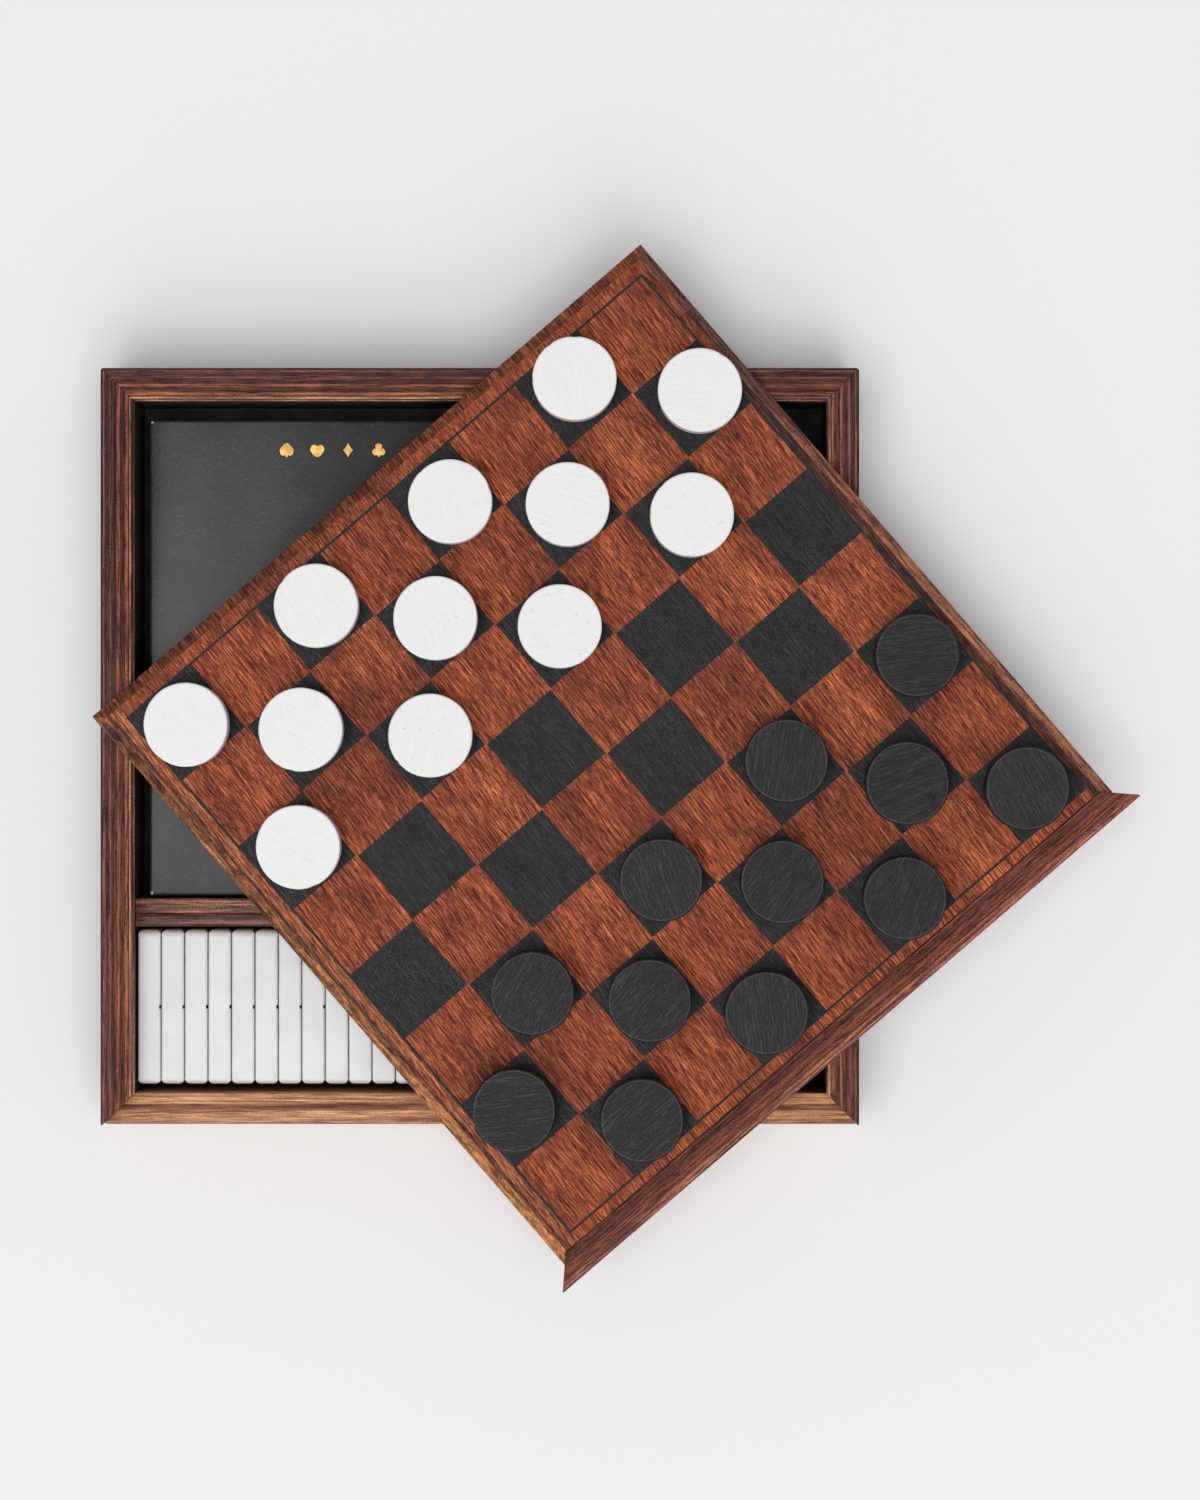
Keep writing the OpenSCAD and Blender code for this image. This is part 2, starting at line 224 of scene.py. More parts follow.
class EffectBench(Bench):
    """Lays out a node group with named inputs and outputs."""

    def __init__(self, name: str, outputs: tuple[str, ...], **inputs: object) -> None:
        """Makes an empty group, whose first input is a vector.

        Args:
            name: The group's name.
            outputs: The names of the outputs, which are values.
            inputs: The other inputs' plain values by name, with _ for a space; a tuple makes a vector.
        """
        super().__init__(bpy.data.node_groups.new(name, "ShaderNodeTree"))
        for title, value in {"Vector": (0.0, 0.0, 0.0), **inputs}.items():
            kind = "NodeSocketVector" if isinstance(value, tuple) else "NodeSocketFloat"
            socket = self.tree.interface.new_socket(name=title.replace("_", " "), in_out="INPUT", socket_type=kind)
            socket.default_value = value
        for title in outputs:
            self.tree.interface.new_socket(name=title, in_out="OUTPUT", socket_type="NodeSocketFloat")
        self.inlet = self.tree.nodes.new("NodeGroupInput").outputs
        self.outlet = self.tree.nodes.new("NodeGroupOutput").inputs


def open_grain() -> Tree:
    """Open-grained wood: dark and bright marks drawn out along the grain, with slow bands.

    The vector's Y runs along the grain, and Lean sets the marks at a slope to it. Noise that is divided by a mark's
    width across and its length along comes out as dashes of that size. Short dashes, longer ones and a little even
    grit are added up: where the sum is low there is a dark pore, and where it is high a bright streak.

    Returns:
        The node group.
    """
    sizes = {"Mark_Width": 0.6 * MM, "Mark_Length": 4 * MM, "Band_Width": 6 * MM}
    b = EffectBench("open grain", ("Pores", "Streaks", "Bands", "Height"), **sizes, Lean=0.0, Grit=0.2, Seed=0.0)
    width, length = b.inlet["Mark Width"], b.inlet["Mark Length"]
    shift = b.join(*(b.times(b.inlet["Seed"], step) for step in (0.31, 0.17, 0.23)))
    spot = b.vector("ADD", b.inlet["Vector"], shift)
    aside, along, up = b.split(spot)
    sway = b.times(b.noise(spot, 26.0, 1), 1.5 * MM, b.times(along, b.inlet["Lean"], aside))

    def stretched(across: object, reach: object) -> Socket:
        """The swayed coordinates in units of a mark of that width and length."""
        return b.join(*(b.math("DIVIDE", part, unit) for part, unit in ((sway, across), (along, reach), (up, across))))

    short = b.noise(stretched(width, length), rough=0.6)
    long = b.noise(stretched(b.times(width, 1.5), b.times(length, 4.0)))
    grit = b.math("SUBTRACT", b.noise(spot, b.math("DIVIDE", 1.0, width), 1), 0.5)
    marks = b.math("ADD", b.times(long, 0.5, b.times(short, 0.5)), b.times(grit, b.inlet["Grit"]))
    for name, low, high in (("Pores", 0.49, 0.41), ("Streaks", 0.515, 0.59), ("Height", 0.36, 0.62)):
        b.feed(b.outlet[name], b.window(marks, low, high))
    bands = b.noise(stretched(b.inlet["Band Width"], b.times(length, 14.0)), rough=0.55)
    b.feed(b.outlet["Bands"], b.window(bands, 0.34, 0.66))
    return b.tree


def mottle() -> Tree:
    """Soft blotches of a given size, with a finer copy of the same noise for bumps.

    Returns:
        The node group.
    """
    b = EffectBench("mottle", ("Blotches", "Fine"), Blotch_Size=10 * MM, Seed=0.0)
    spot = b.vector("ADD", b.inlet["Vector"], b.join(b.inlet["Seed"]))
    cycles = b.math("DIVIDE", 1.0, b.inlet["Blotch Size"])
    b.feed(b.outlet["Blotches"], b.window(b.noise(spot, cycles, 3, 0.55), 0.32, 0.68))
    b.feed(b.outlet["Fine"], b.noise(spot, b.times(cycles, 14.0), rough=0.6))
    return b.tree


def specks() -> Tree:
    """Small round specks, one to a cell, of which only a share shows.

    The distance to each cell's point, less the speck's radius, gives the dot; the cell's own random colour decides
    whether it shows and how large it is.

    Returns:
        The node group.
    """
    b = EffectBench("specks", ("Mask",), Spacing=2 * MM, Radius=0.2 * MM, Share=0.5)
    spacing = b.inlet["Spacing"]
    cells = b.fill(b.put("TexVoronoi"), Vector=b.inlet["Vector"], Scale=b.math("DIVIDE", 1.0, spacing))
    pick = b.put("SeparateColor", cells["Color"]).outputs
    radius = b.times(b.inlet["Radius"], b.times(pick[1], 0.8, 0.5))
    reach = b.math("DIVIDE", b.times(cells["Distance"], spacing), radius)
    shown = b.math("LESS_THAN", pick[0], b.inlet["Share"])
    b.feed(b.outlet["Mask"], b.times(b.window(reach, 1.2, 0.7), shown))
    return b.tree


def rubbed_corners() -> Tree:
    """Wear on the upright corners and top edges of a box that is centred on the vector's origin.

    The distance inwards from each side of the box is taken; a corner is where both are small. Noise breaks the
    limit up into chips.

    Returns:
        The node group.
    """
    b = EffectBench("rubbed corners", ("Corners", "Edges"), Half_Size=(0.1, 0.1, 0.0), Reach=2 * MM)
    aside, ahead, _ = b.split(b.vector("SUBTRACT", b.inlet["Half Size"], b.vector("ABSOLUTE", b.inlet["Vector"])))
    ragged = b.times(b.noise(b.inlet["Vector"], 900.0, 3, 0.65), 2.0, -0.35)
    reach = b.times(b.inlet["Reach"], ragged)
    far, near = (b.math(kind, aside, ahead) for kind in ("MAXIMUM", "MINIMUM"))
    b.feed(b.outlet["Corners"], b.window(b.math("DIVIDE", far, reach), 1.15, 0.85))
    b.feed(b.outlet["Edges"], b.window(b.math("DIVIDE", near, b.times(reach, 0.4)), 1.3, 0.7))
    return b.tree


OPEN_GRAIN, MOTTLE, SPECKS, RUBBED_CORNERS = open_grain(), mottle(), specks(), rubbed_corners()


class MaterialBench(Bench):
    """Lays out one material round a Principled shader."""

    def __init__(self, name: str) -> None:
        """Makes a material with a bare Principled shader.

        Args:
            name: The material's name.
        """
        self.material = bpy.data.materials.new(name)
        self.material.use_nodes = True
        super().__init__(self.material.node_tree)
        self.tree.nodes.clear()
        self.shader = self.put("BsdfPrincipled")
        self.put("OutputMaterial", self.shader.outputs[0])
        self.here = self.put("TexCoord").outputs["Object"]

    def set(self, **values: object) -> None:
        """Sets inputs of the Principled shader by name, with _ for a space."""
        self.fill(self.shader, **values)

    def bump(self, height: object, depth: float) -> None:
        """Raises the surface by a height of 0 to 1, where 1 stands for a depth in millimetres."""
        self.set(Normal=self.fill(self.put("Bump"), Distance=depth * MM, Strength=1, Height=height)[0])


# ---- Finishes: all their lengths are in millimetres ----


@dataclass(frozen=True)
class GrainLie:
    """How the grain lies in a piece: its middle, its turn from +Y, where in the tree it was cut, and its pale end.

    Pale ramp is how much paler the piece is one metre towards -Y along its grain; on the walls it is painted sheen.
    """

    centre: Point = (0.0, 0.0, 0.0)
    turn: float = 0.0
    seed: float = 0.0
    fade: float = 0.0


@dataclass(frozen=True)
class Grain:
    """The marks of open grain: their width and length, the slow bands' width, the marks' slope, and loose grit."""

    width: float
    length: float
    band: float
    lean: float = 0.0
    grit: float = 0.25

    def lay(self, b: Bench, at: object, seed: object) -> Sockets:
        """The shared effect's outputs at coordinates whose Y runs along the grain."""
        sizes = {"Mark_Width": self.width * MM, "Mark_Length": self.length * MM, "Band_Width": self.band * MM}
        return b.effect(OPEN_GRAIN, Vector=at, Lean=self.lean, Grit=self.grit, Seed=seed, **sizes)


@dataclass(frozen=True)
class Stripe:
    """A band of another tone that runs with the grain, at a place across it, from a start to an end along it.

    Its colour is in screen steps.
    """

    place: float
    width: float
    colour: tuple[int, int, int]
    share: float = 0.8
    feather: float = 0.3
    start: float = -FAR
    end: float = FAR
    run_out: float = 12


@dataclass(frozen=True)
class WoodFinish:
    """Open-grained wood, stained. Pore and streak are factors that the ground is multiplied by."""

    name: str
    dark: Colour
    light: Colour
    grain: Grain
    pore: Colour = (0.3, 0.25, 0.32)
    streak: Colour = (2.1, 2.3, 1.9)
    pore_share: float = 0.9
    streak_share: float = 0.9
    patch: float = 30
    patch_share: float = 0.45
    band_share: float = 0.55
    waver: float = 0.5
    waver_cycles: Point = (300, 45, 300)
    bump_depth: float = 0.1
    roughness: float = 0.42
    shine: float = 0.12
    depth_scale: float = 1.0
    stripes: tuple[Stripe, ...] = ()

    def striped(self, b: Bench, ground: object, local: object, cloud: object) -> object:
        """Lays the stripes over the ground, each with a wavering edge.

        Args:
            b: The material's bench.
            ground: The ground's colour.
            local: The piece's own coordinates, with Y along the grain.
            cloud: Slow noise, 0 to 1, that thins the stripes in places.

        Returns:
            The colour.
        """
        aside, along, _ = b.split(local)
        waver = self.waver * MM
        across = b.times(b.noise(b.place(local, size=self.waver_cycles), rough=0.6), waver, aside)
        for stripe in self.stripes:
            half, feather = stripe.width * MM / 2, stripe.feather * MM
            off = b.math("ABSOLUTE", b.math("SUBTRACT", across, stripe.place * MM + waver / 2))
            mask = b.window(off, half + feather, half - feather)
            for end, out in ((stripe.start, -stripe.run_out), (stripe.end, stripe.run_out)):
                if abs(end) < FAR:
                    mask = b.times(mask, b.window(along, (end + out) * MM, (end - out) * MM))
            share = b.times(cloud, 0.5 * stripe.share, 0.65 * stripe.share)
            ground = b.blend(b.times(mask, share), ground, srgb(*stripe.colour))
        return ground

    def make(self, lie: GrainLie) -> Material:
        """Builds the material.

        Args:
            lie: How the grain lies.

        Returns:
            The material.
        """
        b = MaterialBench(f"{self.name}_{lie.seed:g}")
        local = b.place(b.here, lie.centre, lie.turn, (1, 1, self.depth_scale))
        grain = self.grain.lay(b, local, lie.seed)
        cloud = b.effect(MOTTLE, Vector=local, Blotch_Size=self.patch * MM, Seed=lie.seed)["Blotches"]
        tone = b.times(cloud, self.patch_share, b.times(grain["Bands"], self.band_share))
        # The tone ramps paler towards -Y along the grain; on the walls this is painted sheen.
        if lie.fade:
            tone = b.times(b.split(local)[1], -lie.fade, tone)
        colour = b.blend(tone, self.dark, self.light)
        if self.stripes:
            colour = self.striped(b, colour, local, cloud)
        colour = b.blend(b.times(grain["Streaks"], self.streak_share), colour, self.streak, "MULTIPLY")
        colour = b.blend(b.times(grain["Pores"], self.pore_share), colour, self.pore, "MULTIPLY")
        rough = b.times(grain["Pores"], 0.2, self.roughness)
        b.set(Base_Color=colour, Roughness=rough, Specular_IOR_Level=self.shine)
        b.bump(grain["Height"], self.bump_depth)
        return b.material


@dataclass(frozen=True)
class StainFinish:
    """Dark stain over the board's wood: the grain shows as faint lighter marks, partly grain through the stain and
    partly painted highlight on raised grain.
    """

    ground: Colour
    grain_highlight: Colour
    grain: Grain
    pore: Colour = (0.002, 0.002, 0.002)
    pore_share: float = 0.8
    roughness: float = 0.3
    shine: float = 0.17

    def make(self, lie: GrainLie) -> Material:
        """Builds the material.

        Args:
            lie: How the grain lies, as in the board.

        Returns:
            The material.
        """
        b = MaterialBench("dark_stain")
        grain = self.grain.lay(b, b.place(b.here, lie.centre, lie.turn), lie.seed)
        # Lighter marks along the grain: grain showing through the stain, and painted highlight where raised grain
        # would catch light.
        grain_highlight = b.times(grain["Bands"], 0.2, b.times(grain["Streaks"], 0.9))
        colour = b.blend(grain_highlight, self.ground, self.grain_highlight)
        colour = b.blend(b.times(grain["Pores"], self.pore_share), colour, self.pore)
        b.set(Base_Color=colour, Roughness=self.roughness, Specular_IOR_Level=self.shine)
        b.bump(grain["Height"], 0.1)
        return b.material


@dataclass(frozen=True)
class PaintFinish:
    """Paint on a turned disc. The disc's own map runs out from the middle of its top, in metres.

    The ring is a pale line just inside the rim, the paint's ridge there with painted highlight on the rounded edge;
    pit_share is how many specks the most pitted disc shows.
    """

    name: str
    ground: Colour
    worn: Colour
    pit: Colour
    ridge_highlight: Colour
    grain: float
    pit_share: float
    shine: float
    relief: float
    ring: float
    marks: Grain = Grain(0.3, 2.4, 4)
    blotch: float = 4
    pit_spacing: float = 1.1
    pit_radius: float = 0.14
    roughness: float = 0.3

    def make(self) -> Material:
        """Builds the material.

        Returns:
            The material.
        """
        b = MaterialBench(self.name)
        plan = b.put("UVMap", uv_map="plan").outputs[0]
        own, rim = (b.put("Attribute", attribute_name=name).outputs["Fac"] for name in ("piece", "rim"))
        weave = self.marks.lay(b, plan, own)
        cloud = b.effect(MOTTLE, Vector=plan, Blotch_Size=self.blotch * MM, Seed=own)
        few = b.times(b.math("POWER", b.math("FRACT", b.times(own, 3.7)), 4.0), self.pit_share)
        apart, sizes = b.vector("ADD", plan, b.join(own)), (self.pit_spacing * MM, self.pit_radius * MM)
        pits = b.effect(SPECKS, Vector=apart, Spacing=sizes[0], Radius=sizes[1], Share=few)["Mask"]
        lift = b.times(cloud["Blotches"], 0.12, b.times(weave["Streaks"], self.grain))
        colour = b.blend(lift, self.ground, self.worn)
        # The ring: the paint's ridge just inside the rim, with painted highlight on the rounded edge.
        groove = b.times(b.window(rim, 0.93, 0.945), b.window(rim, 0.962, 0.95))
        colour = b.blend(b.times(groove, self.ring), colour, self.ridge_highlight)
        colour = b.blend(b.times(weave["Pores"], 0.7 * self.grain), colour, (0.4, 0.4, 0.4), "MULTIPLY")
        colour = b.blend(b.times(pits, 0.8), colour, self.pit)
        b.set(Base_Color=colour, Roughness=self.roughness, Specular_IOR_Level=self.shine)
        height = b.times(cloud["Fine"], 0.4, weave["Height"])
        b.bump(b.math("SUBTRACT", height, b.times(pits, 2.0)), self.relief)
        return b.material


@dataclass(frozen=True)
class Flecks:
    """Specks of one kind: their spacing and radius, the share of them that shows, how strongly, and their colour."""

    spacing: float
    radius: float
    share: float
    strength: float
    colour: Colour


@dataclass(frozen=True)
class MottledFinish:
    """Soft blotches of two tones with flecks on them.

    Uneven is how much the roughness rises with the finer noise, and plain holds what is the same all over.
    """

    name: str
    ground: Colour
    cloudy: Colour
    blotch: float
    seed: float
    roughness: float
    uneven: float = 0.0
    relief: float = 0.0
    flecks: tuple[Flecks, ...] = ()
    plain: dict[str, object] = field(default_factory=dict)

    def top(self, b: MaterialBench, colour: Socket) -> Socket:
        """What lies over the flecks: nothing here."""
        return colour

    def make(self) -> Material:
        """Builds the material.

        Returns:
            The material.
        """
        b = MaterialBench(self.name)
        cloud = b.effect(MOTTLE, Vector=b.here, Blotch_Size=self.blotch * MM, Seed=self.seed)
        colour = b.blend(cloud["Blotches"], self.ground, self.cloudy)
        for kind in self.flecks:
            sizes = {"Spacing": kind.spacing * MM, "Radius": kind.radius * MM}
            mask = b.effect(SPECKS, Vector=b.here, Share=kind.share, **sizes)["Mask"]
            colour = b.blend(b.times(mask, kind.strength), colour, kind.colour)
        rough = b.times(cloud["Fine"], self.uneven, self.roughness) if self.uneven else self.roughness
        b.set(Base_Color=self.top(b, colour), Roughness=rough, **self.plain)
        if self.relief:
            b.bump(cloud["Fine"], self.relief)
        return b.material


@dataclass(frozen=True)
class WrappedFinish(MottledFinish):
    """Speckled paper wrapped over board, rubbed along the edges and worn through at the corners of a box."""

    centre: Point = (0.0, 0.0, 0.0)
    half: Point = (0.0, 0.0, 0.0)
    edge: Colour = srgb(110, 110, 108)
    edge_share: float = 0.2
    core: Colour = srgb(206, 204, 198)
    reach: float = 1.2

    def top(self, b: MaterialBench, colour: Socket) -> Socket:
        """Lays the wear over the paper.

        Args:
            b: The material's bench.
            colour: The paper's colour.

        Returns:
            The worn colour.
        """
        local = b.place(b.here, self.centre)
        wear = b.effect(RUBBED_CORNERS, Vector=local, Half_Size=self.half, Reach=self.reach * MM)
        colour = b.blend(b.times(wear["Edges"], self.edge_share), colour, self.edge)
        return b.blend(wear["Corners"], colour, self.core)


@dataclass(frozen=True)
class FeltFinish:
    """Black felt with short hairs."""

    ground: Colour = (0.02, 0.02, 0.02)
    hair: Colour = (0.05, 0.05, 0.05)
    blotch: float = 6
    relief: float = 0.3

    def make(self) -> Material:
        """Builds the material.

        Returns:
            The material.
        """
        b = MaterialBench("felt")
        cloud = b.effect(MOTTLE, Vector=b.here, Blotch_Size=self.blotch * MM, Seed=9.0)["Blotches"]
        hairs = b.noise(b.here, 2600.0, 3, 0.7)
        colour = b.blend(b.times(hairs, cloud), self.ground, self.hair)
        b.set(Base_Color=colour, Roughness=0.95, Specular_IOR_Level=0.1, Sheen_Weight=0.15)
        b.bump(hairs, self.relief)
        return b.material


@dataclass(frozen=True)
class CardStockFinish:
    """A pack of cards: fine lines between the cards at its sides, a lattice on the back of the top one."""

    centre: Point
    layer: float = 0.3
    lozenge: float = 3
    printed: tuple[float, float] = (40, 27.5)

    def make(self, name: str) -> Material:
        """Builds the material.

        Args:
            name: The material's name.

        Returns:
            The material.
        """
        b = MaterialBench(name)
        local = b.place(b.here, self.centre)
        x, y, z = b.split(local)
        facing = b.split(b.put("NewGeometry").outputs["Normal"])[2]
        layers = b.math("SINE", b.times(z, math.tau / (self.layer * MM)))
        stack = b.blend(b.window(layers, 0.3, 1), srgb(226, 222, 212), srgb(150, 146, 138))
        step = math.pi / (self.lozenge * MM)
        across, down = (b.math("SINE", b.times(b.math(kind, x, y), step)) for kind in ("ADD", "SUBTRACT"))
        lattice = b.window(b.math("ABSOLUTE", b.times(across, down)), 0.25, 0.15)
        sides = b.split(b.vector("ABSOLUTE", local))
        inside = b.times(*(b.math("LESS_THAN", side, half * MM) for side, half in zip(sides, self.printed)))
        back = b.blend(b.times(inside, lattice), srgb(232, 229, 220), srgb(120, 38, 36))
        flat = b.math("GREATER_THAN", b.math("ABSOLUTE", facing), 0.5)
        b.set(Base_Color=b.blend(flat, stack, back), Roughness=0.45)
        return b.material


# ---- Mesh work ----


def surface(name: str, points: Array, faces: list[list[int]], smooth: bool = True) -> Mesh:
    """Makes a mesh.

    Args:
        name: The mesh's name.
        points: n by 3 array of points, in metres.
        faces: The numbers of each face's points.
        smooth: Whether it is shaded smooth.

    Returns:
        The mesh.
    """
    mesh = bpy.data.meshes.new(name)
    mesh.from_pydata(points.tolist(), [], faces)
    mesh.polygons.foreach_set("use_smooth", np.full(len(faces), smooth))
    return mesh


def ring_quads(rings: int, steps: int) -> Array:
    """Quads between the closed rings of a grid, whose points are numbered round each ring in turn.

    Args:
        rings: How many rings the grid has.
        steps: How many points each ring has.

    Returns:
        n by 4 array of the points' numbers.
    """
    first = np.arange((rings - 1) * steps)
    second = first - first % steps + (first + 1) % steps
    return np.stack([first, second, second + steps, first + steps], -1)


def put_object(name: str, mesh: Mesh, materials: list[Material], body: str) -> bpy.types.Object:
    """Puts a finished mesh into the scene as a piece that rides on a body.

    Args:
        name: The piece's name.
        mesh: Its mesh, already in place.
        materials: Its materials.
        body: The body it rides on.

    Returns:
        The object.
    """
    mesh.name = name
    mesh.materials.clear()
    for material in materials:
        mesh.materials.append(material)
    piece = bpy.data.objects.new(name, mesh)
    bpy.context.scene.collection.objects.link(piece)
    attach(piece, body)
    log.info("%s: %d faces, on %s", name, len(mesh.polygons), body)
    return piece


def body_of_node(node: str) -> str:
    """The body that a CAD node rides on."""
    return frame["nodes"][node]["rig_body"]


def replace_softened(
    node: str,
    name: str,
    materials: list[Material],
    slot: str,
    width: float,
    sort_faces: FaceSort | None = None,
    angle: float = 25,
) -> None:
    """Stands a copy with rounded edges in for a CAD node.

    The copy's doubles are merged and its flat faces joined first, so that the rounding finds clean edges.

    Args:
        node: The CAD node.
        name: The piece's name.
        materials: Its materials.
        slot: The record's material slot; not used.
        width: Width of the rounding, in metres.
        sort_faces: Gives each face the number of its material.
        angle: The least angle of an edge that is rounded, in degrees.
    """
    mesh = frame["nodes"][node].data.copy()
    work = bmesh.new()
    work.from_mesh(mesh)
    bmesh.ops.remove_doubles(work, verts=work.verts, dist=DOUBLES)
    bmesh.ops.dissolve_limit(work, angle_limit=FLAT, verts=work.verts, edges=work.edges)
    work.to_mesh(mesh)
    work.free()
    for layer in list(mesh.uv_layers):
        mesh.uv_layers.remove(layer)
    count = len(mesh.polygons)
    mesh.polygons.foreach_set("use_smooth", np.ones(count, bool))
    piece = put_object(name, mesh, materials, body_of_node(node))
    if sort_faces is not None:
        middles, normals = np.empty(3 * count), np.empty(3 * count)
        mesh.polygons.foreach_get("center", middles)
        mesh.polygons.foreach_get("normal", normals)
        kinds = sort_faces(middles.reshape(-1, 3), normals.reshape(-1, 3))
        mesh.polygons.foreach_set("material_index", kinds.astype(np.int32))
    bevel = piece.modifiers.new("soft edges", "BEVEL")
    bevel.width = width
    bevel.segments = 2
    bevel.limit_method = "ANGLE"
    bevel.angle_limit = math.radians(angle)
    bevel.harden_normals = True
    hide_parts(node)


def dress(node: str, material: Material) -> None:
    """Gives a CAD node that keeps its shape a better material.

    Args:
        node: The CAD node.
        material: The material.
    """
    mesh = frame["nodes"][node].data
    if not mesh.materials:
        mesh.materials.append(material)
    for index in range(len(mesh.materials)):
        mesh.materials[index] = material
    log.info("%s: dressed as %s", node, material.name)


# ---- The box ----


class Side(Enum):
    """The four walls: the node's last word, and the way from its outer face into the box."""

    LEFT = ("left", (1.0, 0.0))
    RIGHT = ("right", (-1.0, 0.0))
    BACK = ("back", (0.0, -1.0))
    FRONT = ("front", (0.0, 1.0))


@dataclass
class BoxWoodwork:
    """The walls, the divider, the bottom and the felt. A wall's stripes are placed from its outer face.

    Painted sheen ramps are the walls' pale ramps, painted sheen that makes each wall paler towards one end, in the
    order of the sides.
    """

    facing: float = 0.9
    arris_slope: float = 0.5
    soft_edge: float = 0.3 * MM
    # Painted sheen: each wall is paler towards its front or left end.
    painted_sheen_ramps: tuple[float, ...] = (3.2, -2.6, 0.8, 0.0)
    rim: WoodFinish = WoodFinish(
        "rim_wood", srgb(48, 26, 25), srgb(108, 58, 46), Grain(0.36, 6, 0.55, grit=0.3),
        pore=(0.2, 0.17, 0.22), streak_share=0.45, waver=0.3,
        stripes=(
            Stripe(0.25, 0.7, (54, 38, 38), 0.9, 0.15),
            Stripe(1.0, 0.3, (136, 92, 80), 0.8, 0.12),
            Stripe(1.9, 0.4, (60, 38, 38), 0.9, 0.12),
            Stripe(2.9, 0.3, (132, 88, 78), 0.8, 0.12),
            Stripe(3.9, 0.3, (54, 34, 34), 0.9, 0.12),
            Stripe(5.2, 0.9, (144, 82, 62), 0.8, 0.15),
            Stripe(6.4, 0.6, (74, 46, 42), 0.8, 0.15),
            Stripe(7.6, 0.8, (156, 94, 68), 0.9, 0.15),
        ),
    )
    # Painted highlight: a lighter wood for the sloping inner arris and the groove's floor.
    worn: WoodFinish = WoodFinish(
        "worn_arris", srgb(105, 66, 55), srgb(186, 132, 104), Grain(0.5, 8, 2), pore_share=0.6
    )
    raw: WoodFinish = WoodFinish(
        "raw_wood", srgb(162, 108, 78), srgb(206, 152, 108), Grain(0.5, 9, 2.2, grit=0.2),
        pore=(0.5, 0.42, 0.4), streak=(1.5, 1.6, 1.6),
        stripes=(
            Stripe(0.2, 0.5, (118, 88, 78), 0.8, 0.2),
            Stripe(1.0, 1.1, (152, 106, 90), 0.7),
            Stripe(5.0, 1.9, (112, 66, 50), 1.0, 0.4),
            Stripe(8.4, 0.5, (146, 112, 98), 0.7, 0.2),
        ),
    )
    strip: WoodFinish = WoodFinish("divider_wood", srgb(90, 60, 50), srgb(146, 98, 82), Grain(0.5, 10, 1.4))
    # Painted shade: the darker pair of colours for the divider strip on the domino side.
    shaded: tuple[Colour, Colour] = (srgb(74, 48, 42), srgb(116, 78, 67))
    inner: WoodFinish = WoodFinish(
        "inner_wood", (0.02, 0.018, 0.018), (0.045, 0.038, 0.036), Grain(0.6, 12, 3), pore_share=0.6, streak_share=0.4
    )
    inner_front: WoodFinish = WoodFinish(
        "inner_front_wood", srgb(150, 106, 88), srgb(206, 156, 130), Grain(0.5, 10, 2)
    )

    def wall(self, side: Side, seed: float, fade: float) -> None:
        """Stands one wall: stained outside, dark inside, with painted highlight along its top inner arris and on the
        groove's floor.

        Args:
            side: Which wall.
            seed: Where in the tree its wood was cut.
            fade: How much paler it is one metre towards its -Y end, painted sheen.
        """
        word, inwards = side.value
        low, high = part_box(f"wall_{word}")
        depth = abs((high.x - low.x) * inwards[0] + (high.y - low.y) * inwards[1])
        outer = (low + high) / 2 - Vector((*inwards, 0)) * depth / 2
        lie = GrainLie((outer.x, outer.y, 0), math.atan2(inwards[1], inwards[0]), seed, fade)

        def sort_faces(middles: Array, normals: Array) -> Array:
            """0 for the outside, 1 for the inner faces, 2 for the sloping inner arris and the groove's floor."""
            towards, up = normals[:, :2] @ np.array(inwards), normals[:, 2]
            arris = (towards > self.arris_slope) & (up > self.arris_slope)
            floor = (up > self.facing) & (middles[:, 2] < high.z - 1 * MM)
            return np.select([arris, towards > self.facing, floor], [2, 1, 2], 0)

        front = side is Side.FRONT
        # The third finish is painted highlight on the inner arris and the groove's floor.
        woods = (self.raw, self.inner_front, self.worn) if front else (self.rim, self.inner, self.worn)
        finishes = [wood.make(lie) for wood in woods]
        slot = "raw_wood" if front else "rim_wood"
        replace_softened(f"wall_{word}", f"mitred_wall_{word}", finishes, slot, self.soft_edge, sort_faces)

    def bottom(self) -> None:
        """Lays the bottom panel: bare wood underneath, dark where it shows round the felt."""

        def sort_faces(middles: Array, normals: Array) -> Array:
            """1 for the top, 0 for the rest."""
            return np.where(normals[:, 2] > self.facing, 1, 0)

        lie = GrainLie(turn=math.pi / 2, seed=15.0)
        finishes = [self.strip.make(lie), self.inner.make(lie)]
        replace_softened("bottom_panel", "let_in_bottom", finishes, "raw_wood", self.soft_edge, sort_faces)

    def build(self) -> None:
        """Builds all that is fixed to the box."""
        for number, (side, fade) in enumerate(zip(Side, self.painted_sheen_ramps)):
            self.wall(side, 3.0 + number, fade)
        self.bottom()
        # The domino-side strip takes a darker copy of the divider's wood, painted shade.
        shaded = replace(self.strip, dark=self.shaded[0], light=self.shaded[1])
        for number, (name, wood) in enumerate((("card", self.strip), ("domino", shaded))):
            finish = wood.make(GrainLie(turn=math.pi / 2, seed=11.0 + number))
            node = f"divider_strip_{name}_side"
            replace_softened(node, f"softened_{node}", [finish], "rim_wood", self.soft_edge)
        felt = FeltFinish().make()
        for node in ("felt_well", "felt_channel"):
            dress(node, felt)


# ---- The board ----


